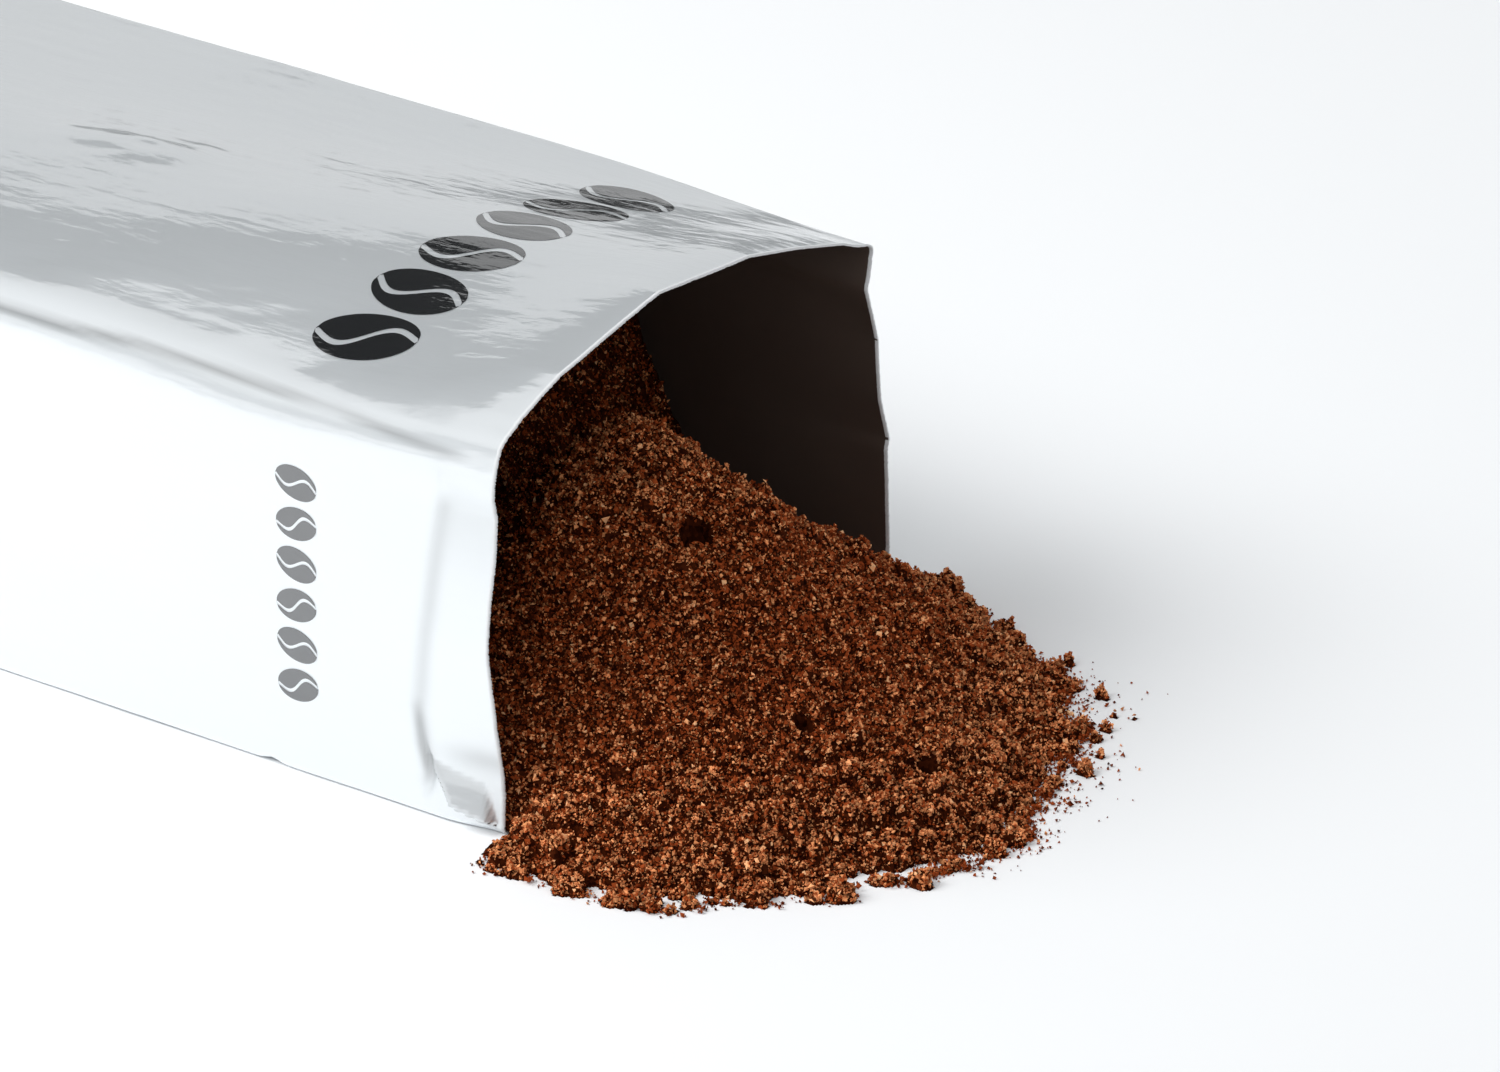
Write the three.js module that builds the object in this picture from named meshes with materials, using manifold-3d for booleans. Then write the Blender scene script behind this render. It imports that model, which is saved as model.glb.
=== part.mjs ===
// An opened block-bottom pack of ground coffee that lies on its large face, with its coffee spilt out of the mouth.
// Millimetres, +Z up. The pack runs along X, with the closed end at -X and the cut mouth at +X.
// While it is drawn, x = 0 is the plane of the mouth, y = 0 the near side and z = 0 the table. At the end the whole
// is moved so that the origin lies under the middle of its box.

import * as THREE from 'three';
import { mergeVertices } from 'three/addons/utils/BufferGeometryUtils.js';
import Module from 'manifold-3d';

// The pack
const PACK_LENGTH = 151;
const PACK_WIDTH = 83;
const FOLD_HEIGHT = 51; // the near upper fold over the table
const FOLD_RADIUS = 2.8; // the near upper fold
const SHARP_FOLD_RADIUS = 1.6; // the other three
const FAR_FOLD_RISE = 1.8; // how much higher the far upper fold lies, back in the block
const NEAR_FOLD_RISE = 2.6; // and the near one, which rises between these two stations
const NEAR_RISE_FRONT = -15;
const NEAR_RISE_BACK = -75;
const FILM = 1; // thicker than real film, so that the wall is a solid
const END_ROUNDING = 4; // round the closed end
const CROWN_BLOCK = 2.5; // rise of the large upper face over its folds, far back in the block
const CROWN_MOUTH = 11.4; // and at the mouth
const CROWN_FADE = 50; // length over which the mouth's extra rise dies away
const RIDGE_SHIFT = 0.22; // in the block the crown's ridge lies nearer the near fold, as a share of half the width
const RIDGE_BACK = -80; // from here to the next station the ridge moves to the middle
const RIDGE_FRONT = -25;
const CREASE_AT = -10; // the old fold round the pack, where the block's end was shut
const OPENING_LENGTH = 45; // how far back from the mouth the film has left its block shape

// How the walls stand at the mouth, against the block's straight sides
const NEAR_BOW = 1.5; // near wall, outwards at half height
const NEAR_FOOT_OUT = 0.4; // near lower fold, outwards
const FAR_BOTTOM_OUT = 3.3; // far wall at the table, outwards
const FAR_TOP_IN = 0.4; // far upper corner, inwards
const FAR_BOW = 0.8;
const FAR_DENT = 2.2; // the kink under the far corner, inwards
const FAR_DENT_HEIGHT = 46;
const FAR_DENT_SIZE = 3.2;
const RIM_WAVE = 0.7; // the hand-cut rim, to and fro along X

// The folded seal at the closed end
const FLAP_THICKNESS = 0.8; // each of the two panels folded over the tucked gussets
const SEAL_THICKNESS = 1.2;
const SEAL_HEIGHT = 12;
const SEAL_OVERLAP = 1; // over the upper panel
const SEAL_SAG = 1; // the middle of its free edge, under its ends
const END_FOLD_INSET = 5; // from the pack's edges to the folded panels
const UPPER_FOLD_INSET = 1.6; // the upper panel's fold, under the near upper fold of the pack
const SEAL_INSET = 6.6; // from the pack's sides
const PANEL_BITE = 0.3; // how deep each panel reaches into what carries it

// The coffee
const FILM_GAP = 0.35; // between the coffee and the film
const APEX = new THREE.Vector3(-6, 40, 41.2);
const APEX_ROUNDING = 5;
const HEAP_HOLLOWNESS = 1.2; // 1 for straight sides, more for sides that run out flatter
const FOOT_REACH = 58.2; // from the apex to the foot of the spill, straight ahead
const NEAR_SQUEEZE = 0.18; // how much shorter that reach is sideways, beside the near wall
const FAR_SQUEEZE = 0.21; // and beside the far wall
const SHOULDER = new THREE.Vector3(10, 80, 3.2); // hump of coffee pushed out round the far wall
const SHOULDER_SIZE = 9;
const BROW = new THREE.Vector3(-2.9, 48.5, -4.4); // steep fall just behind the heap's top
const BROW_SIZE = 6;
const FLANK = new THREE.Vector3(0.2, 57, -4.2); // hollow farther down the same side
const FLANK_SIZE = 8;
const RIM_HOLLOW = new THREE.Vector3(0.5, 0, -3); // dip beside the near lower corner of the mouth
const RIM_HOLLOW_SIZE = 3.6;
const BANK_FOOT = -27; // inside, the standing face of the coffee that hasn't moved
const BANK_TOP = -42;
const BANK_SLANT = 0.12; // the face lies deeper towards the far wall
const VALLEY_HEIGHT = 17; // of the hollow between the bank and the spilt heap
const PIT = new THREE.Vector3(6.5, 33, -1.6);
const PIT_SIZE = 1.9;
const CLUMP_SIZES = [9, 4.6, 2.6]; // lumps of coffee, by width
const CLUMP_HEIGHTS = [1.4, 1.1, 0.9];
const CLUMP_SEED = 11;
const SPACE_OVERLAP = 2; // how far the coffee inside the film runs on into the coffee in front of it

// How finely the surfaces are divided
const FACES = [
  { name: 'bottom', steps: 5, radii: [SHARP_FOLD_RADIUS, SHARP_FOLD_RADIUS] },
  { name: 'far', steps: 10, radii: [SHARP_FOLD_RADIUS, SHARP_FOLD_RADIUS] },
  { name: 'top', steps: 15, radii: [SHARP_FOLD_RADIUS, FOLD_RADIUS] },
  { name: 'near', steps: 7, radii: [FOLD_RADIUS, SHARP_FOLD_RADIUS] }];
const FOLD_STEPS = 3;
const ROW_PLACES = [0, 0.02, 0.045, 0.067, 0.1, 0.15, 0.21, 0.28, 0.36, 0.46, 0.58, 0.72, 0.86, 1];
const END_ROWS = 3;
const HEAP_CELL = 1.55;
const HIDDEN_CELL = 6;
const HEAP_MARGIN = 14; // how far the heap's grid runs past the pack's sides
const SLOPE_STEP = 0.004; // share of a face's width over which its slope is taken

const wasm = await Module();
wasm.setup();

function smoothstep(value, low, high) {
  return THREE.MathUtils.smoothstep(value, low, high);
}

// The film's section

// How far the film has opened at this station: 0 in the block, 1 at the mouth.
function openness(x) {
  return smoothstep(x, -OPENING_LENGTH, 0);
}

// Height of the large upper face over the line between its folds. across runs from 0 at the near fold to 1.
function crown(x, across) {
  const middle = 2 * across - 1;
  const off = middle + RIDGE_SHIFT * (1 - middle * middle) * (1 - smoothstep(x, RIDGE_BACK, RIDGE_FRONT));
  const rise = CROWN_BLOCK + (CROWN_MOUTH - CROWN_BLOCK) * Math.exp(x / CROWN_FADE);
  const bell = off < 0 ? 1 - off * off : Math.cos((off * Math.PI) / 2) ** 2;
  const arch = off < 0 ? Math.sqrt(1 - off * off) : 1 - off ** 1.5;
  return rise * THREE.MathUtils.lerp(bell, arch, openness(x));
}

// How far a long face swells outwards, part of the way along its width at station x.
const SWELL = {
  bottom: () => 0,
  far: (x, along) => {
    const dent = FAR_DENT * Math.exp(-(((along * FOLD_HEIGHT - FAR_DENT_HEIGHT) / FAR_DENT_SIZE) ** 2));
    return openness(x) * (FAR_BOW * Math.sin(Math.PI * along) - dent);
  },
  top: (x, along) => crown(x, 1 - along),
  near: (x, along) => openness(x) * NEAR_BOW * Math.sin(Math.PI * along),
};

// The four long folds at station x, as corners in (y, z), anticlockwise from the near lower one.
function corners(x) {
  const open = openness(x);
  const nearRise = NEAR_FOLD_RISE * (1 - smoothstep(x, NEAR_RISE_BACK, NEAR_RISE_FRONT));
  return [
    new THREE.Vector2(-NEAR_FOOT_OUT, 0),
    new THREE.Vector2(PACK_WIDTH + FAR_BOTTOM_OUT * open, 0),
    new THREE.Vector2(PACK_WIDTH - FAR_TOP_IN * open, FOLD_HEIGHT + FAR_FOLD_RISE * (1 - open)),
    new THREE.Vector2(0, FOLD_HEIGHT + nearRise)];
}

// The outward side of a line that runs anticlockwise round the section.
function outward(start, end) {
  return new THREE.Vector2(end.y - start.y, start.x - end.x).normalize();
}

// Points across one face between its folds' roundings, moved inwards by a distance, with the outward side at each.
function facePoints(index, x, inward) {
  const { name, steps, radii } = FACES[index];
  const start = corners(x)[index];
  const end = corners(x)[(index + 1) % FACES.length];
  const width = start.distanceTo(end);
  const place = (along) => {
    return start.clone().lerp(end, along).addScaledVector(outward(start, end), SWELL[name](x, along));
  };
  const shares = radii.map((radius) => radius / width);
  return Array.from({ length: steps + 1 }, (_, i) => {
    const along = THREE.MathUtils.lerp(shares[0], 1 - shares[1], i / steps);
    const side = outward(place(along - SLOPE_STEP), place(along + SLOPE_STEP));
    return { point: place(along).addScaledVector(side, -inward), side };
  });
}

// One closed outline round the pack at station x, moved inwards by a distance, with its four folds rounded.
function outline(x, inward) {
  const faces = FACES.map((_, index) => facePoints(index, x, inward));
  return faces.flatMap((face, index) => {
    const next = faces[(index + 1) % faces.length];
    const last = face.at(-1);
    const mitre = last.side.clone().add(next[0].side).divideScalar(1 + last.side.dot(next[0].side));
    const corner = corners(x)[(index + 1) % FACES.length].addScaledVector(mitre, -inward);
    const fold = new THREE.QuadraticBezierCurve(last.point, corner, next[0].point);
    return [...face.map(({ point }) => point), ...fold.getPoints(FOLD_STEPS).slice(1, -1)];
  });
}

// The cut rim's place along X, by the outline's own numbering.
function rimWave(turn) {
  return RIM_WAVE * (0.6 * Math.sin(4 * Math.PI * turn + 0.8) + 0.4 * Math.sin(14 * Math.PI * turn));
}

// Rings and the skins between them

// A ring of space points from an outline, drawn in towards its middle at the rounded closed end.
function ring(x, points, shrink = 0) {
  const half = new THREE.Vector2(PACK_WIDTH / 2, FOLD_HEIGHT / 2);
  return points.map((point) => {
    const y = half.x + (point.x - half.x) * (1 - shrink / half.x);
    const z = half.y + (point.y - half.y) * (1 - shrink / half.y);
    return new THREE.Vector3(x, y, z);
  });
}

// Rings from the closed end to the mouth, with the walls moved inwards. overhang lengthens them past the mouth.
function rings(inward, overhang = 0) {
  const end = -PACK_LENGTH + FLAP_THICKNESS + SEAL_THICKNESS + inward;
  const rounded = Array.from({ length: END_ROWS }, (_, i) => {
    const turn = (i * Math.PI) / 2 / END_ROWS;
    const x = end + END_ROUNDING * (1 - Math.cos(turn));
    return ring(x, outline(x, inward), END_ROUNDING * (1 - Math.sin(turn)));
  });
  const straight = ROW_PLACES.map((place) => {
    const x = (end + END_ROUNDING) * place;
    const points = outline(x, inward);
    const cut = Math.max(0, 1 - x / CREASE_AT);
    return ring(x, points).map((point, i) => point.setX(x + rimWave(i / points.length) * cut));
  }).reverse();
  const past = overhang > 0 ? [straight.at(-1).map((point) => point.clone().setX(overhang))] : [];
  return [...rounded, ...straight, ...past];
}

// A closed surface through rings that run one after another, with both ends capped from their middle.
function loft(list) {
  const count = list[0].length;
  const middle = (points) => points.reduce((sum, p) => sum.add(p), new THREE.Vector3()).divideScalar(count);
  const vertices = [...list.flat(), middle(list[0]), middle(list.at(-1))];
  const indices = [];
  for (let i = 0; i < count; i += 1) {
    const j = (i + 1) % count;
    for (let row = 0; row + 1 < list.length; row += 1) {
      const low = row * count;
      const high = low + count;
      indices.push(low + i, high + j, high + i);
      indices.push(low + i, low + j, high + j);
    }
    const last = (list.length - 1) * count;
    indices.push(vertices.length - 2, j, i);
    indices.push(vertices.length - 1, last + i, last + j);
  }
  const geometry = new THREE.BufferGeometry().setFromPoints(vertices);
  geometry.setIndex(indices);
  return geometry;
}

// Solids for cutting and joining

function solid(geometry) {
  const bare = geometry.clone();
  bare.deleteAttribute('normal');
  bare.deleteAttribute('uv');
  const merged = mergeVertices(bare, 1e-4);
  const triVerts = new Uint32Array(merged.index.array);
  return new wasm.Manifold(new wasm.Mesh({ numProp: 3, vertProperties: merged.attributes.position.array, triVerts }));
}

function geometryOf(body) {
  const mesh = body.getMesh();
  const geometry = new THREE.BufferGeometry();
  geometry.setAttribute('position', new THREE.BufferAttribute(new Float32Array(mesh.vertProperties), 3));
  geometry.setIndex(Array.from(mesh.triVerts));
  geometry.computeVertexNormals();
  return geometry;
}

// The film bag

// A flat panel on the closed end: its outline in (y, z), from one place along X towards -X.
function endPanel(points, x, thickness) {
  const shape = new THREE.Shape(points.map(([y, z]) => new THREE.Vector2(y, z)));
  const panel = new THREE.ExtrudeGeometry(shape, { depth: thickness, bevelEnabled: false });
  // the shape's x and y become the pack's y and z, and the depth runs along +X
  const turn = new THREE.Matrix4().makeBasis(
    new THREE.Vector3(0, 1, 0), new THREE.Vector3(0, 0, 1), new THREE.Vector3(1, 0, 0));
  return panel.applyMatrix4(turn).translate(x - thickness, 0, 0);
}

// The end's two folded panels, which meet at half height over the tucked gussets, and the seal laid over the lower one.
function endFolds() {
  const face = -PACK_LENGTH + FLAP_THICKNESS + SEAL_THICKNESS + PANEL_BITE;
  const middle = FOLD_HEIGHT / 2;
  const left = END_FOLD_INSET;
  const right = PACK_WIDTH - END_FOLD_INSET;
  const slant = middle - END_FOLD_INSET;
  const panel = (edge) => [[left, edge], [right, edge], [right - slant, middle], [left + slant, middle]];
  const free = middle - SEAL_HEIGHT;
  const seal = [
    [SEAL_INSET, free + SEAL_SAG], [PACK_WIDTH / 2, free], [PACK_WIDTH - SEAL_INSET, free + SEAL_SAG],
    [PACK_WIDTH - SEAL_INSET, middle + SEAL_OVERLAP], [SEAL_INSET, middle + SEAL_OVERLAP]];
  return [
    endPanel(panel(END_FOLD_INSET), face, FLAP_THICKNESS + PANEL_BITE),
    endPanel(panel(FOLD_HEIGHT - UPPER_FOLD_INSET).reverse(), face, FLAP_THICKNESS + PANEL_BITE),
    endPanel(seal, face, FLAP_THICKNESS + SEAL_THICKNESS + PANEL_BITE)];
}

function foilBag() {
  const outside = rings(0);
  const inside = rings(FILM).reverse();
  const shell = solid(loft([...outside, ...inside]));
  const whole = endFolds().reduce((body, fold) => body.add(solid(fold)), shell);
  return geometryOf(whole);
}

// The coffee

// A repeatable random number from 0 to 1 for each whole-numbered place.
function scatter(i, j, layer) {
  const wave = Math.sin(i * 127.1 + j * 311.7 + (layer + CLUMP_SEED) * 74.7) * 43758.5;
  return wave - Math.floor(wave);
}

// Smooth bumps of one width, from -1 to 1.
function bumps(x, y, width, layer) {
  const u = x / width;
  const v = y / width;
  const i = Math.floor(u);
  const j = Math.floor(v);
  const fu = smoothstep(u - i, 0, 1);
  const fv = smoothstep(v - j, 0, 1);
  const low = THREE.MathUtils.lerp(scatter(i, j, layer), scatter(i + 1, j, layer), fu);
  const high = THREE.MathUtils.lerp(scatter(i, j + 1, layer), scatter(i + 1, j + 1, layer), fu);
  return 2 * THREE.MathUtils.lerp(low, high, fv) - 1;
}

// A round hump, or with a negative height a hollow: its middle, its height there and its width.
function hump(x, y, middle, size) {
  return middle.z * Math.exp(-((x - middle.x) ** 2 + (y - middle.y) ** 2) / size ** 2);
}

// Height of the spilt heap, which falls below the table outside its foot.
function heapHeight(x, y) {
  const ahead = x - APEX.x;
  const aside = y - APEX.y;
  const distance = Math.hypot(ahead, aside);
  const sideways = distance > 0 ? (aside / distance) ** 4 : 0;
  const reach = FOOT_REACH * (1 - (aside < 0 ? NEAR_SQUEEZE : FAR_SQUEEZE) * sideways);
  const fall = (Math.hypot(distance, APEX_ROUNDING) - APEX_ROUNDING) / (Math.hypot(reach, APEX_ROUNDING) - APEX_ROUNDING);
  const hollows = hump(x, y, RIM_HOLLOW, RIM_HOLLOW_SIZE) + hump(x, y, BROW, BROW_SIZE) + hump(x, y, FLANK, FLANK_SIZE);
  const extra = hump(x, y, SHOULDER, SHOULDER_SIZE) + hollows;
  return APEX.z * Math.sign(1 - fall) * Math.abs(1 - fall) ** HEAP_HOLLOWNESS + extra;
}

// Height of the coffee that still stands inside the pack.
function bankHeight(x, y) {
  const shift = BANK_SLANT * (PACK_WIDTH / 2 - y);
  const rise = (BANK_FOOT + shift - x) / (BANK_FOOT - BANK_TOP);
  return THREE.MathUtils.lerp(VALLEY_HEIGHT, FOLD_HEIGHT, Math.min(rise, 2));
}

function coffeeHeight(x, y) {
  const lumps = CLUMP_SIZES.reduce((sum, size, i) => sum + CLUMP_HEIGHTS[i] * 0.5 * bumps(x, y, size, i), 0);
  return Math.max(heapHeight(x, y), bankHeight(x, y)) + hump(x, y, PIT, PIT_SIZE) + lumps;
}

// Evenly spread places along one axis, about one cell apart.
function places(low, high, cell) {
  const count = Math.round((high - low) / cell);
  return Array.from({ length: count + 1 }, (_, i) => low + ((high - low) * i) / count);
}

// A closed block under the coffee's surface. It is coarse where the film hides it, and goes well under the table.
function heapBlock() {
  const bottom = -20;
  const lowest = -6;
  const shown = BANK_TOP - 8;
  const xs = [
    ...places(-PACK_LENGTH - HEAP_MARGIN, shown, HIDDEN_CELL).slice(0, -1),
    ...places(shown, APEX.x + FOOT_REACH + 4, HEAP_CELL)];
  const ys = places(-HEAP_MARGIN, PACK_WIDTH + HEAP_MARGIN, HEAP_CELL).reverse();
  const list = xs.map((x) => {
    const surface = ys.map((y) => new THREE.Vector3(x, y, Math.max(coffeeHeight(x, y), lowest)));
    return [new THREE.Vector3(x, ys[0], bottom), ...surface, new THREE.Vector3(x, ys.at(-1), bottom)];
  });
  return solid(loft(list));
}

// All the space that coffee can fill: inside the film, and over the table in front of the mouth.
function coffeeSpace() {
  const inside = solid(loft(rings(FILM + FILM_GAP, RIM_WAVE + SPACE_OVERLAP)));
  const front = new THREE.BoxGeometry(APEX.x + FOOT_REACH + 10, 3 * PACK_WIDTH, 2 * FOLD_HEIGHT);
  const start = RIM_WAVE + FILM_GAP;
  front.translate(front.parameters.width / 2 + start, PACK_WIDTH / 2, FOLD_HEIGHT);
  return inside.add(solid(front));
}

function groundCoffee() {
  return geometryOf(heapBlock().intersect(coffeeSpace()));
}

// The whole, one mesh for each separate thing

const FOIL = new THREE.MeshStandardMaterial({ color: 0xced4d6, roughness: 0.28, metalness: 0.9, side: THREE.DoubleSide });
const COFFEE = new THREE.MeshStandardMaterial({ color: 0x5a3019, roughness: 0.95, metalness: 0 });

function piece(name, geometry, material) {
  const mesh = new THREE.Mesh(geometry, material);
  mesh.name = name;
  return mesh;
}

const coffeePack = new THREE.Group();
coffeePack.add(piece('foil_bag', foilBag(), FOIL));
coffeePack.add(piece('ground_coffee', groundCoffee(), COFFEE));

const extent = new THREE.Box3().setFromObject(coffeePack);
const centre = extent.getCenter(new THREE.Vector3());
coffeePack.position.set(-centre.x, -centre.y, -extent.min.z);

export default coffeePack;
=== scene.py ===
"""An opened foil bag of ground coffee, lying on its large face with the coffee spilt out of its cut mouth."""

import copy
import math

import bpy
import numpy as np
from mathutils import Matrix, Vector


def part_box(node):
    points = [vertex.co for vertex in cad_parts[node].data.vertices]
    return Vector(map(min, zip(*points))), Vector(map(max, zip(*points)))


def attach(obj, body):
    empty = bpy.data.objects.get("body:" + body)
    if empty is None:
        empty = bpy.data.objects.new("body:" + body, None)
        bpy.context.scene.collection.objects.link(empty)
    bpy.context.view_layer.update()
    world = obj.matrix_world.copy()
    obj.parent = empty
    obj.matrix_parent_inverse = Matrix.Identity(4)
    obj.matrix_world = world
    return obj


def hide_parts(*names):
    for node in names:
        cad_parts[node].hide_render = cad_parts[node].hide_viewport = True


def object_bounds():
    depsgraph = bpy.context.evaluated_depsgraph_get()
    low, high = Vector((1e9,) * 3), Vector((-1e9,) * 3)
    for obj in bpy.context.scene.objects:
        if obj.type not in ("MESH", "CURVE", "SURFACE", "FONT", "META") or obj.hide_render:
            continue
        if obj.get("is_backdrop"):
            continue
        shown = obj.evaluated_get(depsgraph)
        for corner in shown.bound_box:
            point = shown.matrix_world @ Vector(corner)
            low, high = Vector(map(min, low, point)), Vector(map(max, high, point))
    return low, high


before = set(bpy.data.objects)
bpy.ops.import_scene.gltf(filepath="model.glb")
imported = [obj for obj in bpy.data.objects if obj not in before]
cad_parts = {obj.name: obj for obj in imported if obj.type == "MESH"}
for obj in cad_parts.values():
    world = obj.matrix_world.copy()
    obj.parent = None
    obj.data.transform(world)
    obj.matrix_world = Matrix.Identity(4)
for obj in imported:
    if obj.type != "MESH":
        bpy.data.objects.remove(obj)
PACKED_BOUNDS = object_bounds()

bl_info = {
    "name": "Opened coffee bag",
    "version": (1, 0, 0),
    "blender": (4, 5, 0),
    "location": "3D View > Sidebar > Coffee Bag",
    "description": "Builds a foil bag that lies open with ground coffee spilling from its mouth",
    "category": "Add Mesh",
}

# The forms are worked out in millimetres, from the near lower corner of the cut mouth:
# x = 0 at the mouth, y = 0 at the near side and z = 0 on the table.
MM = 0.001

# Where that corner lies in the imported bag's box, in metres: from its closed end, and from its far side
CORNER_FROM_END, CORNER_FROM_FAR = 0.151, 0.08627

# The film's faces, and the folds before them, in order round a section
BOTTOM, FAR, TOP, NEAR = range(4)

# The edge of the cut mouth on three faces: places along each face, and how far out the film stands there
TOP_EDGE_Y = [0.2, 1.9, 5.1, 9.3, 13.5, 22.0, 34.8, 43.4, 54.4, 65.5, 75.7, 82.1]
TOP_EDGE_Z = [52.3, 54.0, 56.1, 57.8, 59.2, 60.5, 62.3, 61.3, 60.0, 57.0, 53.9, 50.9]
FAR_EDGE_Z = [0.0, 6.1, 13.0, 20.4, 21.9, 28.1, 37.0, 45.2, 47.8, 50.9]
FAR_EDGE_Y = [86.1, 86.5, 85.9, 85.6, 86.1, 84.4, 83.8, 81.0, 81.7, 82.1]
NEAR_EDGE_Z = [0.5, 5.4, 8.2, 11.0, 15.2, 19.4, 26.4, 33.4, 38.9, 44.4, 47.2]
NEAR_EDGE_Y = [0.9, 1.1, 0.8, 0.2, -0.6, -1.1, -1.9, -1.3, -0.4, 0.1, -0.4]

# The old fold in the near wall beside the mouth, by height
CREASE_Z = [3.2, 6.3, 10.3, 15.8, 24.6, 30.4, 39.1, 44.8, 50.0]
CREASE_X = [-11.8, -11.0, -11.8, -12.2, -11.1, -10.2, -9.3, -8.6, -8.6]

# The line of painted shade along the near upper fold: (x, z + 0.6 y)
FOLD_LINE_X = [-115.0, -69.0, -57.8, -46.6, -35.5, -26.0, -15.2, -7.4]
FOLD_LINE_UP = [52.4, 52.6, 53.4, 53.2, 52.9, 52.9, 51.9, 51.5]

# The heap's foot, as shares of its reach straight ahead, by the direction from its top in degrees
FOOT_TURN = [-82, -70, -60, -50, -40, -30, -20, -10, 0, 10, 20, 32, 42, 60, 90]
FOOT_SHARE = [0.84, 0.875, 0.922, 0.95, 0.966, 0.986, 0.995, 1.007]
FOOT_SHARE += [1.0, 0.969, 0.955, 0.948, 0.936, 0.868, 0.77]

# Broad humps and hollows of the heap: (x, y, width, height)
SWELLS = [(10, 80, 9, 3.2), (0.5, 0.5, 3.7, -5.2), (-2.9, 48.5, 6, -4.4), (0.2, 57, 8, -4.2)]

# Small clods that lie loose beside the foot: (x, y, radius)
CLODS = [
    (31.9, 81.0, 0.7),
    (40.6, 75.6, 0.8),
    (46.2, 68.2, 0.7),
    (46.5, 65.0, 0.8),
    (50.6, 57.0, 1.0),
    (49.4, 49.6, 0.9),
    (47.5, 72.9, 0.4),
    (49.6, 61.5, 0.6),
    (44.8, 71.9, 0.5),
]

# Lumps of grains in the heap: (number, least radius, largest radius, share of them outside its low part)
CLUMPS = [(1700, 0.9, 1.9, 0.05), (7500, 0.5, 1.1, 0.45), (17000, 0.34, 0.62, 1.0)]

# Small holes in the coffee: (x, y, width, depth)
PITS = [(6.0, 34.0, 2.1, 9.0), (27.9, 26.3, 1.1, 3.0), (39.8, 36.5, 1.5, 3.5)]

# Unevenness of each face and of the heap: (height, stretch along the pack, width, layer of random numbers)
TOP_WAVES = [(0.22, 1.6, 21, 1), (0.08, 1.5, 9, 2)]
TOP_CRUMPLES = [(0.14, 1.8, 6.5, 3), (0.05, 1.4, 3, 4)]
TOP_GRAINS = [(0.018, 2.4, 1.9, 31)]
FAR_WAVES = [(0.25, 1.4, 15, 5), (0.08, 1, 6, 6)]
NEAR_WAVES = [(0.16, 1.5, 18, 7), (0.03, 1, 5, 8)]
HEAP_LUMPS = [(0.8, 1, 9, 11), (0.5, 1, 4.6, 12), (0.38, 1, 2.6, 13)]


def mm(length):
    return length / MM


def smoothstep(value, low, high):
    part = np.clip((value - low) / (high - low), 0, 1)
    return part * part * (3 - 2 * part)


def scatter(i, j, layer):
    """A repeatable random number from 0 to 1 for each whole-numbered place."""
    wave = np.sin(i * 127.1 + j * 311.7 + layer * 74.7) * 43758.5
    return wave - np.floor(wave)


def bumps(x, y, width, layer):
    """Smooth bumps of one width, from -1 to 1."""
    u, v = x / width, y / width
    i, j = np.floor(u), np.floor(v)
    fu, fv = smoothstep(u - i, 0, 1), smoothstep(v - j, 0, 1)
    low = scatter(i, j, layer) * (1 - fu) + scatter(i + 1, j, layer) * fu
    high = scatter(i, j + 1, layer) * (1 - fu) + scatter(i + 1, j + 1, layer) * fu
    return 2 * (low * (1 - fv) + high * fv) - 1


def unevenness(kinds, x, across):
    """Bumps of several kinds on top of each other."""
    return sum(height * bumps(x / stretch, across, width, layer) for height, stretch, width, layer in kinds)


def hill(value, middle, width):
    """A smooth rise from 0 to 1 and back, round a middle value."""
    return np.exp(-(((value - middle) / width) ** 2))


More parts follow.
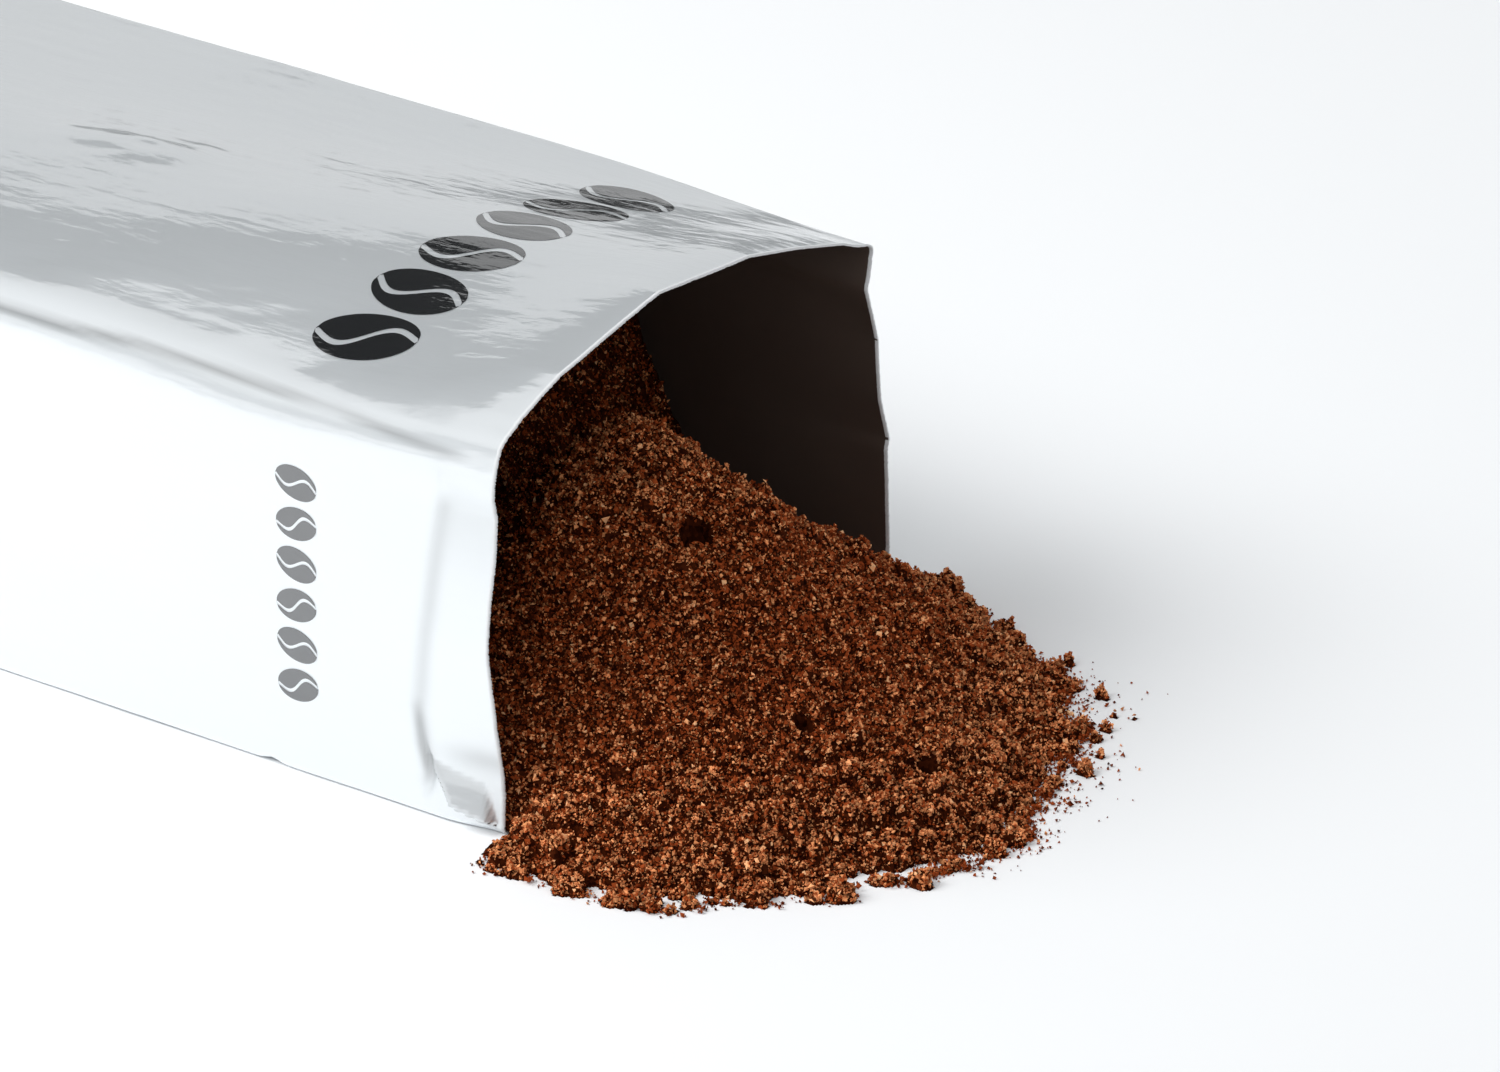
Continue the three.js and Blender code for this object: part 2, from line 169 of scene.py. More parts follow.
class Film:
    """The form of the bag's film."""

    def __init__(self, s):
        self.length = mm(s.pack_length)
        self.width = mm(s.pack_width)
        self.height = mm(s.fold_height)
        self.near_radius = mm(s.near_fold_radius)
        self.sharp_radius = mm(s.sharp_fold_radius)
        self.crown_block = mm(s.crown_block)
        self.crown_mouth = mm(s.crown_mouth)
        self.crown_fade = mm(s.crown_fade)
        self.opening = mm(s.opening_length)
        self.film = mm(s.film_thickness)
        self.end = -self.length + 2.0
        self.end_rounding = 4.0
        self.far_rise = 1.8
        self.near_rise = 2.6
        self.far_spread = 3.3
        self.far_lean = 0.4

    def openness(self, x):
        """How far the film has left its block shape: 0 in the block, 1 at the mouth."""
        return smoothstep(x, -self.opening, 0)

    def crown(self, x, across):
        """Height of the large upper face over the line between its folds."""
        off = 2 * across - 1
        off = off + 0.22 * (1 - off * off) * (1 - smoothstep(x, -80, -25))
        rise = self.crown_block + (self.crown_mouth - self.crown_block) * np.exp(x / self.crown_fade)
        bell = np.where(off < 0, 1 - off * off, np.cos(off * np.pi / 2) ** 2)
        near = np.sqrt(np.clip(1 - off * off, 0, 1))
        far = 1 - np.clip(off, 0, 1) ** 1.5
        arch = np.where(off < 0, near, far)
        opened = self.openness(x)
        return rise * (bell * (1 - opened) + arch * opened)

    def corner(self, index, x):
        """The sharp corner before a face, as (y, z)."""
        opened = self.openness(x)
        flat = np.zeros_like(opened)
        foot = 1.2 * smoothstep(x, -9, 0) - 0.4
        far_foot = self.width + self.far_spread * opened
        far_top = self.width - self.far_lean * opened
        y = [foot, far_foot, far_top, flat][index % 4]
        rise = self.near_rise * (1 - smoothstep(x, -75, -15))
        z = [flat, flat, self.height + self.far_rise * (1 - opened), self.height + rise][index % 4]
        return np.stack([y, z], -1)

    def swell(self, face, x, along):
        """How far a long face swells outwards, part of the way along its width."""
        opened = self.openness(x)
        rim = np.exp(np.minimum(x, 0) / 7)
        if face == FAR:
            dent = 2.2 * hill(along * self.height, 46, 3.2)
            plain = opened * (0.8 * np.sin(np.pi * along) - dent)
            line = self.width + self.far_spread - (self.far_spread + self.far_lean) * along
            cut = np.interp(along * self.height, FAR_EDGE_Z, FAR_EDGE_Y) - line
            return plain + rim * (cut - plain)
        if face == TOP:
            plain = self.crown(x, 1 - along)
            y = self.width * (1 - along)
            inner = smoothstep(y, 1, 5) * smoothstep(y, self.width - 1, self.width - 5)
            cut = np.interp(y, TOP_EDGE_Y, TOP_EDGE_Z) - self.height
            return plain + rim * inner * (cut - plain)
        if face == NEAR:
            plain = opened * 1.5 * np.sin(np.pi * along)
            z = self.height * (1 - along)
            inner = smoothstep(z, 0.2, 1.6) * smoothstep(z, self.height - 1, self.height - 3)
            cut = 0.8 * along - np.interp(z, NEAR_EDGE_Z, NEAR_EDGE_Y)
            return plain + rim * inner * (cut - plain)
        return np.zeros_like(opened * along)

    def place(self, face, x, along):
        """A place on a face, part of the way along it, as (y, z)."""
        start, end = self.corner(face, x), self.corner(face + 1, x)
        run = end - start
        side = np.stack([run[..., 1], -run[..., 0]], -1)
        side /= np.linalg.norm(side, axis=-1, keepdims=True)
        return start + run * along[..., None] + side * self.swell(face, x, along)[..., None]

    def side(self, face, x, along):
        """The outward direction of a face at that place."""
        step = 0.004
        run = self.place(face, x, along + step) - self.place(face, x, along - step)
        side = np.stack([run[..., 1], -run[..., 0]], -1)
        return side / np.linalg.norm(side, axis=-1, keepdims=True)

    def radius(self, index, x):
        """Rounding of the fold before a face."""
        if index % 4 == NEAR:
            back = 1 - smoothstep(x, -45, -2)
            return self.near_radius + 4.0 * back
        if index % 4 == BOTTOM:
            return 0.55 * self.sharp_radius + 0 * x
        return self.sharp_radius + 0 * x

    def relief(self, x, y, z, ny, nz):
        """Dents, creases and crumples, outwards along the film's own side."""
        near = np.clip(-ny, 0, 1) ** 2
        far = np.clip(ny, 0, 1) ** 2
        top = np.clip(nz, 0, 1) ** 2
        behind_rim = smoothstep(-x, 0, 6)
        steady = 0.3 + 0.7 * behind_rim
        crumpled = hill(y, 9, 7) * smoothstep(-x, 4, 14)
        ripple = hill(x, -90, 11) * hill(y - 0.1 * (x + 90), 42, 5.5) * (1 + 0.5 * bumps(x / 2.5, y, 2.2, 21))
        upper = unevenness(TOP_WAVES, x, y) * steady + unevenness(TOP_GRAINS, x, y) * behind_rim
        upper += unevenness(TOP_CRUMPLES, x, y) * crumpled + 0.75 * ripple

        past = x - np.interp(z, CREASE_Z, CREASE_X)
        crease = np.where(past < 0, np.exp(past / 2.2), np.exp(-past / 1.1))
        crease *= smoothstep(z, 1, 4) * (1 - smoothstep(z, 46, 51))
        wedge = hill(past, 0.9, 0.5) * smoothstep(z, 1.5, 4.5) * (1 - smoothstep(z, 8, 13.5))
        facet, below = self.facet(x, z)
        block = smoothstep(-x, 18, 30) * bumps(x / 2.5, z / 1.2, 9, 9)
        side = unevenness(NEAR_WAVES, x, z) * steady + 0.3 * crease - 0.55 * wedge
        side += 0.42 * facet * (below - 0.6) + 0.12 * block
        return top * upper + near * side + far * unevenness(FAR_WAVES, x, z)

    def facet(self, x, z):
        """The crumpled facet low beside the mouth, and how far a place lies below its upper edge."""
        corner_x, corner_z = -10.8, 9.1
        below = corner_z - 0.314 * (x - corner_x) - z
        left = 0.834 * (x - corner_x) - 0.551 * (corner_z - z)
        right = -2.2 - x - 0.27 * (z - 3.9)
        facet = smoothstep(below, -0.2, 0.25) * smoothstep(left, -0.3, 0.2) * smoothstep(right, -0.5, 0.1)
        return facet * (1 - smoothstep(below, 4.6, 5.4)), below

    def painted_shade(self, points):
        """Painted shade on the film, from 0 to 1: its colour is darkened along the old folds and the crumpled
        facet beside the mouth, and along the near upper fold.
        """
        x, y, z = points.T
        past = x - np.interp(z, CREASE_Z, CREASE_X)
        line = 0.17 * hill(past, 0.9, 1.2) * smoothstep(z, 3, 6) * (1 - smoothstep(z, 44, 47))
        wedge = 0.32 * hill(past, 0.6, 0.8) * smoothstep(z, 4, 8) * (1 - smoothstep(z, 13, 18))
        lip = 0.22 * hill(z, 10.2, 1.7) * smoothstep(x, -11, -2)
        high = 0.09 * smoothstep(past, 0, 3) * smoothstep(z, 34, 44) * (1 - smoothstep(z, 45, 49))
        facet = 0.17 * self.facet(x, z)[0]
        over = z + 0.6 * y - np.interp(x, FOLD_LINE_X, FOLD_LINE_UP)
        fold = 0.36 * hill(over, 0, 0.75) * smoothstep(x, -140, -110) * (1 - smoothstep(x, -9, -3))
        fold *= 1 + 0.45 * bumps(x, 0 * x, 9, 33)
        return np.where(y < 5, np.clip(line + wedge + lip + high + facet + fold, 0, 0.6), 0)

    def bend(self, x, y, z):
        """The lower near edge lifts a little off the table here and there."""
        wave = 0.09 * (1 + bumps(x, 0 * x, 11, 10)) * smoothstep(-x, 0, 10)
        nick = 0.5 * hill(x, -36, 1.3)
        low = (1 - smoothstep(z, 0, 7)) * (1 - smoothstep(y, 2, 12))
        return z + (wave + nick) * low

    def lifted(self, x, flat, side, inward):
        """Space points from points in the section, with the relief on them."""
        x = np.broadcast_to(x, flat.shape[:-1])
        flat = flat - side * inward
        out = self.relief(x, flat[..., 0], flat[..., 1], side[..., 0], side[..., 1])
        y = flat[..., 0] + side[..., 0] * out
        z = flat[..., 1] + side[..., 1] * out
        return np.stack([x, y, np.maximum(self.bend(x, y, z), 0)], -1)

    def on_face(self, face, x, along, inward=0.0):
        """Space points on a face, or under it by a distance."""
        return self.lifted(x, self.place(face, x, along), self.side(face, x, along), inward)

    def section(self, x, inward, steps, fold_steps):
        """Closed outlines round the pack at stations x, anticlockwise: an array (stations, points, 3)."""
        x = np.asarray(x, float)[:, None]
        faces = []
        for face in range(4):
            start, end = self.corner(face, x), self.corner(face + 1, x)
            width = np.linalg.norm(end - start, axis=-1)
            low = self.radius(face, x) / width
            high = 1 - self.radius(face + 1, x) / width
            along = low + (high - low) * np.linspace(0, 1, steps[face] + 1)
            faces.append((self.place(face, x, along), self.side(face, x, along)))
        t = np.linspace(0, 1, fold_steps + 1)[1:-1][None, :, None]
        flats, sides = [], []
        for face, (flat, side) in enumerate(faces):
            flats.append(flat)
            sides.append(side)
            a, b = flat[:, -1:], faces[(face + 1) % 4][0][:, :1]
            c = self.corner(face + 1, x)
            curve = a * (1 - t) ** 2 + 2 * c * t * (1 - t) + b * t**2
            run = 2 * (c - a) * (1 - t) + 2 * (b - c) * t
            turn = np.stack([run[..., 1], -run[..., 0]], -1)
            flats.append(curve)
            sides.append(turn / np.linalg.norm(turn, axis=-1, keepdims=True))
        return self.lifted(x, np.concatenate(flats, 1), np.concatenate(sides, 1), inward)

    def near_wall(self, x, z):
        along = np.clip(1 - z / self.height, 0, 1)
        return self.place(NEAR, x, along)[..., 0]

    def far_wall(self, x, z):
        along = np.clip(z / self.height, 0, 1)
        return self.place(FAR, x, along)[..., 0]

    def roof(self, x, y):
        along = np.clip(1 - y / self.width, 0, 1)
        return self.place(TOP, x, along)[..., 1]


def cut(points, reach=10.0):
    """Moves the outlines' points to and fro near the mouth, as a hand cuts."""
    turn = np.arange(points.shape[1]) / points.shape[1]
    wave = 0.18 * np.sin(4 * np.pi * turn + 0.8) + 0.12 * np.sin(14 * np.pi * turn)
    points = points.copy()
    points[..., 0] += wave * np.clip(1 + points[..., 0] / reach, 0, 1)
    return points


def tube_faces(rows, count):
    """Faces between closed outlines of count points each."""
    i, j = np.meshgrid(np.arange(rows - 1), np.arange(count), indexing="ij")
    a, b = i * count + j, i * count + (j + 1) % count
    return np.stack([a, b, b + count, a + count], -1).reshape(-1, 4)


def grid_faces(rows, columns, start=0):
    """Faces of a grid of points, whose first point has the number start."""
    i, j = np.meshgrid(np.arange(rows - 1), np.arange(columns - 1), indexing="ij")
    a = i * columns + j
    return (np.stack([a, a + 1, a + columns + 1, a + columns], -1) + start).reshape(-1, 4)


def mouth_corner():
    """The near lower corner of the cut mouth, in metres in the row's frame."""
    low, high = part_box("foil_bag")
    return np.array([low.x + CORNER_FROM_END, high.y - CORNER_FROM_FAR, 0.0])


def add_piece(name, points, faces, material, node, smooth=True, extra=(), painted_shade=None):
    """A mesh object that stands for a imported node, from points in millimetres and arrays of faces.

    extra holds single faces of many corners."""
    mesh = bpy.data.meshes.new(name)
    placed = mouth_corner() + MM * np.asarray(points, float)
    index = np.concatenate([f.ravel() for f in faces] + list(extra)).astype(np.int32)
    sizes = np.concatenate([np.full(len(f), f.shape[1]) for f in faces] + [[len(e)] for e in extra])
    mesh.vertices.add(len(placed))
    mesh.vertices.foreach_set("co", placed.astype(np.float32).ravel())
    mesh.loops.add(len(index))
    mesh.loops.foreach_set("vertex_index", index)
    mesh.polygons.add(len(sizes))
    mesh.polygons.foreach_set("loop_start", (np.cumsum(sizes) - sizes).astype(np.int32))
    mesh.polygons.foreach_set("use_smooth", np.full(len(sizes), smooth))
    mesh.update(calc_edges=True)
    # Painted shade: darkens the film's colour along its folds
    if painted_shade is not None:
        values = mesh.attributes.new("painted_shade", "FLOAT", "POINT").data
        values.foreach_set("value", painted_shade.astype(np.float32))
    mesh.validate()
    mesh.materials.append(material)
    piece = bpy.data.objects.new(name, mesh)
    bpy.context.scene.collection.objects.link(piece)
    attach(piece, "root")
    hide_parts(node)
    return piece


# Shader node groups

# Sockets of a Mix node that mixes colours
MIX_FIRST, MIX_SECOND, MIX_RESULT = 6, 7, 2


def make_group(name, inputs, outputs, fill):
    """The node group of that name, made when first asked for. fill joins its inputs to its outputs."""
    if name in bpy.data.node_groups:
        return bpy.data.node_groups[name]
    group = bpy.data.node_groups.new(name, "ShaderNodeTree")
    for label, kind, value in inputs:
        group.interface.new_socket(label, in_out="INPUT", socket_type=kind).default_value = value
    for label, kind in outputs:
        group.interface.new_socket(label, in_out="OUTPUT", socket_type=kind)
    fill(group.nodes, group.links, group.nodes.new("NodeGroupInput"), group.nodes.new("NodeGroupOutput"))
    return group


def new_node(nodes, kind, **values):
    """A shader node with some of its inputs set. An operation or data_type is the node's own."""
    node = nodes.new(kind)
    for label, value in values.items():
        if label in ("operation", "data_type"):
            setattr(node, label, value)
        else:
            node.inputs[label.replace("_", " ")].default_value = value
    return node


def fill_film_unevenness(nodes, links, source, sink):
    place = new_node(nodes, "ShaderNodeTexCoord")
    stretch = new_node(nodes, "ShaderNodeMapping", Scale=(0.28, 1.0, 1.0), Rotation=(0.0, 0.0, 0.12))
    waves = new_node(nodes, "ShaderNodeTexNoise", Scale=150.0, Detail=2.0)
    streaks = new_node(nodes, "ShaderNodeTexNoise", Scale=620.0, Detail=3.0)
    low = new_node(nodes, "ShaderNodeMath", operation="MULTIPLY")
    high = new_node(nodes, "ShaderNodeMath", operation="MULTIPLY_ADD")
    bump = new_node(nodes, "ShaderNodeBump", Strength=1.0, Distance=1.0)
    links.new(place.outputs["Object"], stretch.inputs["Vector"])
    links.new(stretch.outputs["Vector"], waves.inputs["Vector"])
    links.new(stretch.outputs["Vector"], streaks.inputs["Vector"])
    links.new(waves.outputs["Fac"], low.inputs[0])
    links.new(source.outputs["Wave height"], low.inputs[1])
    links.new(streaks.outputs["Fac"], high.inputs[0])
    links.new(source.outputs["Streak height"], high.inputs[1])
    links.new(low.outputs[0], high.inputs[2])
    links.new(high.outputs[0], bump.inputs["Height"])
    links.new(bump.outputs["Normal"], sink.inputs["Normal"])


def film_unevenness():
    """A normal for film that is never quite flat: long shallow waves and fine streaks along the pack."""
    inputs = [("Wave height", "NodeSocketFloat", 0.00025), ("Streak height", "NodeSocketFloat", 0.00010)]
    return make_group("Film unevenness", inputs, [("Normal", "NodeSocketVector")], fill_film_unevenness)


def fill_film_painted_shade(nodes, links, source, sink):
    shade_mask = new_node(nodes, "ShaderNodeAttribute")
    shade_mask.attribute_name = "painted_shade"
    mix = new_node(nodes, "ShaderNodeMix", data_type="RGBA")
    mix.inputs[MIX_SECOND].default_value = (0, 0, 0, 1)
    links.new(shade_mask.outputs["Fac"], mix.inputs["Factor"])
    links.new(source.outputs["Color"], mix.inputs[MIX_FIRST])
    links.new(mix.outputs[MIX_RESULT], sink.inputs["Color"])


def film_painted_shade():
    """The film's colour, darkened by the painted shade along its old folds."""
    inputs = [("Color", "NodeSocketColor", (0.9, 0.9, 0.9, 1))]
    return make_group("Film painted shade", inputs, [("Color", "NodeSocketColor")], fill_film_painted_shade)


def fill_grain_tones(nodes, links, source, sink):
    place = new_node(nodes, "ShaderNodeTexCoord")
    cells = new_node(nodes, "ShaderNodeTexVoronoi")
    split = new_node(nodes, "ShaderNodeSeparateColor")
    mix = new_node(nodes, "ShaderNodeMix", data_type="RGBA")
    links.new(place.outputs["Object"], cells.inputs["Vector"])
    links.new(source.outputs["Scale"], cells.inputs["Scale"])
    links.new(cells.outputs["Color"], split.inputs["Color"])
    links.new(split.outputs["Red"], mix.inputs["Factor"])
    links.new(source.outputs["Dark"], mix.inputs[MIX_FIRST])
    links.new(source.outputs["Light"], mix.inputs[MIX_SECOND])
    links.new(mix.outputs[MIX_RESULT], sink.inputs["Color"])


def grain_tones():
    """A colour that changes from grain to grain, between two tones."""
    inputs = [
        ("Dark", "NodeSocketColor", (0.03, 0.01, 0.004, 1)),
        ("Light", "NodeSocketColor", (0.2, 0.07, 0.025, 1)),
        ("Scale", "NodeSocketFloat", 1500.0),
    ]
    return make_group("Grain tones", inputs, [("Color", "NodeSocketColor")], fill_grain_tones)


def use_group(material, group, **values):
    """A node of the group in the material, with its inputs set."""
    node = material.node_tree.nodes.new("ShaderNodeGroup")
    node.node_tree = group
    for label, value in values.items():
        node.inputs[label.replace("_", " ")].default_value = value
    return node


def new_material(name, color, roughness, **sockets):
    material = bpy.data.materials.new(name)
    material.use_nodes = True
    shader = material.node_tree.nodes["Principled BSDF"]
    shader.inputs["Base Color"].default_value = (*color, 1)
    shader.inputs["Roughness"].default_value = roughness
    for label, value in sockets.items():
        shader.inputs[label.replace("_", " ")].default_value = value
    return material, shader


def film_material(name, color, roughness, metallic, coat, specular=0.5):
    """A film or a print on it: a base with a clear coat that mirrors the studio unevenly."""
    coating = {"Coat_Weight": coat, "Coat_Roughness": 0.03, "Coat_IOR": 2.3}
    material, shader = new_material(
        name, color, roughness, Metallic=metallic, Specular_IOR_Level=specular, **coating
    )
    uneven = use_group(material, film_unevenness())
    material.node_tree.links.new(uneven.outputs["Normal"], shader.inputs["Coat Normal"])
    return material


def foil_material(name, color):
    """Bright metallised film under its clear coat."""
    return film_material(name, color, 0.6, 1.0, 1.0)


def coffee_material(name, dark, light, roughness):
    """Matt grains, each of its own tone between two."""
    material, shader = new_material(name, light, roughness, Specular_IOR_Level=0.03)
    tones = use_group(material, grain_tones(), Dark=(*dark, 1), Light=(*light, 1), Scale=2000.0)
    material.node_tree.links.new(tones.outputs["Color"], shader.inputs["Base Color"])
    return material


# Settings


def length(name, description, default):
    labels = {"name": name, "description": description, "default": default}
    return bpy.props.FloatProperty(**labels, min=0.0, unit="LENGTH", subtype="DISTANCE", precision=5)


def colour(name, description, default):
    labels = {"name": name, "description": description, "default": default}
    return bpy.props.FloatVectorProperty(**labels, size=3, min=0.0, max=1.0, subtype="COLOR")


class CoffeeBagSizes(bpy.types.PropertyGroup):
    """Sizes of the bag and its coffee."""

    pack_length: length("Pack length", "From the closed end to the cut mouth", 0.151)
    pack_width: length("Pack width", "Across the large face", 0.083)
    fold_height: length("Fold height", "Height of the near upper fold over the table", 0.051)
    near_fold_radius: length("Near fold radius", "Rounding of the near upper fold at the mouth", 0.0011)
    sharp_fold_radius: length("Sharp fold radius", "Rounding of the other folds", 0.0016)
    film_thickness: length("Film thickness", "Thickness of the film as drawn", 0.0002)
    opening_length: length("Opening length", "How far back from the mouth the film has opened", 0.045)
    crown_block: length("Crown in the block", "Rise of the large face far back", 0.0025)
    crown_mouth: length("Crown at the mouth", "Rise of the large face at the mouth", 0.0114)
    crown_fade: length("Crown fade", "Length over which the mouth's extra rise dies away", 0.05)
    heap_height: length("Heap height", "Top of the spilt heap over the table", 0.0412)
    foot_reach: length("Foot reach", "From the heap's top to its foot, straight ahead", 0.0582)
    grain_size: length("Grain size", "Usual width of a grain", 0.00044)


class CoffeeBagColours(bpy.types.PropertyGroup):
    """Colours of the bag and its coffee."""

    foil: colour("Foil", "Metallised film", (0.912, 0.943, 0.96))
    liner: colour("Liner", "Inner face of the film", (0.088, 0.063, 0.051))
    edge: colour("Edge", "Cut edge of the film", (0.72, 0.73, 0.74))
    ink: colour("Ink", "Print on the large face", (0.003, 0.004, 0.005))
    grey_ink: colour("Grey ink", "Print on the narrow face", (0.065, 0.068, 0.072))
    coffee_dark: colour("Dark coffee", "Darkest grains", (0.030, 0.0028, 0.0005))
    coffee_mid: colour("Middle coffee", "Usual grains", (0.30, 0.058, 0.014))
    coffee_light: colour("Light coffee", "Lightest grains", (0.98, 0.405, 0.165))
    chaff: colour("Chaff", "Flakes of the bean's skin", (0.85, 0.52, 0.28))


# Pieces


class CoffeeOperator:
    """Shared by the operators."""

    bl_options = {"REGISTER", "UNDO"}

    def execute(self, context):
        self.build(context.scene.coffee_bag_sizes, context.scene.coffee_bag_colours)
        return {"FINISHED"}


# Stations along the pack, closer together towards the mouth, and steps across each face and each fold
STATIONS = np.concatenate(
    [np.arange(-145, -46, 1.65), np.arange(-46, -14, 0.9), np.arange(-14, -0.2, 0.36), [0.0]]
)
STEPS = (26, 72, 124, 104)
FOLD_STEPS = 10


class COFFEE_OT_foil_film(CoffeeOperator, bpy.types.Operator):
    """Builds the bag's film: its outer face, its dark inner face and the cut edge"""

    bl_idname = "coffee.foil_film"
    bl_label = "Foil film"

    def build(self, sizes, colours):
        film = Film(sizes)
        self.outer_face(film, colours)
        self.inner_face(film, colours)
        self.cut_edge(film, colours)

    def closed_end(self, film):
        """Outlines from the middle of the flat closed end outwards and round its edge."""
        half = np.array([film.width / 2, film.height / 2])
        rounded = []
        for turn in np.linspace(0, np.pi / 2, 9)[:-1]:
            shrink = film.end_rounding * (1 - math.sin(turn))
            ring = film.section([film.end + film.end_rounding], 0, STEPS, FOLD_STEPS)
            ring[..., 0] = film.end + film.end_rounding * (1 - math.cos(turn))
            ring[..., 1:] = half + (ring[..., 1:] - half) * (1 - shrink / half)
            rounded.append(ring)
        place, outline = rounded[0][..., :1], rounded[0][..., 1:]
        flat = [np.append(place, half + (outline - half) * share, -1) for share in (0.05, 0.3, 0.55, 0.8)]
        return flat + rounded

    def outer_face(self, film, colours):
        outer = cut(film.section(STATIONS, 0, STEPS, FOLD_STEPS))
        rings = np.concatenate([*self.closed_end(film), outer])
        points = rings.reshape(-1, 3)
        foil = foil_material("Foil", colours.foil)
        # The foil's colour is darkened by painted shade along its folds and the facet beside the mouth.
        shaded_colour = use_group(foil, film_painted_shade(), Color=(*colours.foil, 1))
        shader = foil.node_tree.nodes["Principled BSDF"]
        foil.node_tree.links.new(shaded_colour.outputs["Color"], shader.inputs["Base Color"])
        faces = [tube_faces(*rings.shape[:2])[:, ::-1]]
        cap = np.arange(rings.shape[1])[::-1]
        add_piece("foil_film", points, faces, foil, "foil_bag", extra=[cap], painted_shade=film.painted_shade(points))

    def inner_face(self, film, colours):
        """The dark inner face, as far back as the eye can follow it."""
        inner = cut(film.section(STATIONS[STATIONS > -75], film.film, STEPS, FOLD_STEPS))
        liner = film_material("Liner", colours.liner, 0.42, 0.0, 0.0)
        add_piece("film_liner", inner.reshape(-1, 3), [tube_faces(*inner.shape[:2])], liner, "foil_bag")

    def cut_edge(self, film, colours):
        """The cut edge, a little proud of both faces, with the fine teeth that a blade leaves."""
        fine, fold_fine = tuple(6 * step for step in STEPS), 6 * FOLD_STEPS
        ends = np.array([-0.45, 0.0])
        outside = cut(film.section(ends, -0.03, fine, fold_fine))
        inside = cut(film.section(ends, film.film + 0.02, fine, fold_fine))
        count = outside.shape[1]
        teeth = np.random.default_rng(5).uniform(-0.05, 0.11, count)
        teeth = (teeth + np.roll(teeth, 1)) / 2
        rows = np.stack([outside[0], outside[1], inside[1], inside[0]])
        rows[..., 0] += np.array([0.4, 1, 1, 0.4])[:, None] * teeth
        edge, _ = new_material("Cut edge", colours.edge, 0.6)
        add_piece("film_edge", rows.reshape(-1, 3), [tube_faces(4, count)[:, ::-1]], edge, "foil_bag")


class COFFEE_OT_end_folds(CoffeeOperator, bpy.types.Operator):
    """Builds the folded panels and the crimped seal on the closed end"""

    bl_idname = "coffee.end_folds"
    bl_label = "End folds"

    seal_inset = 6.6
    seal_drop = 11
    crimp_pitch = 1.15

    def build(self, sizes, colours):
        film = Film(sizes)
        middle, inset, wide = film.height / 2, 5.0, film.width
        slant = middle - inset
        foil = foil_material("Folded foil", colours.foil)
        parts, faces, start = [], [], 0
        for edge, lift in ((inset, 0.0), (film.height - 1.6, 0.1)):
            u, v = np.meshgrid(np.linspace(0, 1, 61), np.linspace(0, 1, 25))
            left = inset + slant * v
            y = left + (wide - 2 * left) * u
            z = edge + (middle - edge) * v
            rim = np.minimum(np.minimum(u, 1 - u) * 40, np.minimum(v, 1 - v) * 16)
            rise = 0.8 * smoothstep(rim, 0, 1) + lift
            rise += 0.22 * bumps(y, z, 11, edge) + 0.1 * bumps(y, z, 5, edge + 1)
            x = film.end - np.where(rim > 0, rise, -0.3)
            parts.append(np.stack([x, y, z], -1).reshape(-1, 3))
            quads = grid_faces(*u.shape, start)
            faces.append(quads if edge > middle else quads[:, ::-1])
            start += u.size
        u, v = np.meshgrid(np.linspace(0, 1, 121), np.linspace(0, 1, 53))
        y = self.seal_inset + (wide - 2 * self.seal_inset) * u
        low = middle - self.seal_drop - (1 - (2 * u - 1) ** 2)
        z = low + (middle + 1 - low) * v
        rim = np.minimum(np.minimum(u, 1 - u) * 140, np.minimum(v, 1 - v) * 26)
        crimp = 0.09 * np.cos(2 * np.pi * (z - low) / self.crimp_pitch)
        wave = 0.2 * bumps(y, z / 3, 13, 20)
        x = film.end - np.where(rim > 0, 0.9 + smoothstep(rim, 0, 1) * (0.85 + crimp) + wave, 0.6)
        parts.append(np.stack([x, y, z], -1).reshape(-1, 3))
        faces.append(grid_faces(*u.shape, start)[:, ::-1])
        add_piece("end_folds", np.concatenate(parts), faces, foil, "foil_bag")


def bean_lobes(length_mm, width_mm):
    """The halves of a coffee bean seen from above, as grids of (along, across) on either side of its slit."""
    v = np.linspace(-1, 1, 49)[:, None]
    u = np.linspace(0, 1, 11)[None, :]
    half = width_mm / 2 * np.sqrt(np.clip(1 - v**2, 0, 1))
    slit = 0.22 * width_mm * np.sin(np.pi * v) * (1 - 0.35 * v**2)
    gap = 0.055 * width_mm
    first = np.minimum(slit + gap, half)
    last = np.maximum(slit - gap, -half)
    along = v * length_mm / 2 + 0 * u
    return [(along, first + (half - first) * u), (along, -half + (last + half) * u)]


class COFFEE_OT_bean_print(CoffeeOperator, bpy.types.Operator):
    """Builds the rows of printed beans on the large face and on the narrow face"""

    bl_idname = "coffee.bean_print"
    bl_label = "Bean print"

    def row(self, film, face, name, material, row_x, places, size):
        """One row of beans across a face, at the places given, turned to and fro."""
        parts, faces, start = [], [], 0
        for i, place in enumerate(places):
            angle = 0.16 * (-1) ** i
            for along, across in bean_lobes(*size):
                x = row_x + along * math.cos(angle) - across * math.sin(angle)
                w = place + along * math.sin(angle) + across * math.cos(angle)
                share = 1 - w / (film.width if face == TOP else film.height)
                points = film.on_face(face, x, share, inward=-0.05)
                parts.append(points.reshape(-1, 3))
                faces.append(grid_faces(*along.shape, start))
                start += along.size
        add_piece(name, np.concatenate(parts), faces, material, "foil_bag")

    def build(self, sizes, colours):
        film = Film(sizes)
        ink = film_material("Ink", colours.ink, 0.5, 0.0, 1.0, specular=0.15)
        grey = film_material("Grey ink", colours.grey_ink, 0.5, 0.0, 1.0, specular=0.15)
        self.row(film, TOP, "bean_print_top", ink, -30.5, np.linspace(14, 70, 6), (14.6, 9.8))
        self.row(film, NEAR, "bean_print_side", grey, -31.2, np.linspace(12.5, 40.5, 6), (6.6, 4.4))


# A height far under everything
DEEP = -99


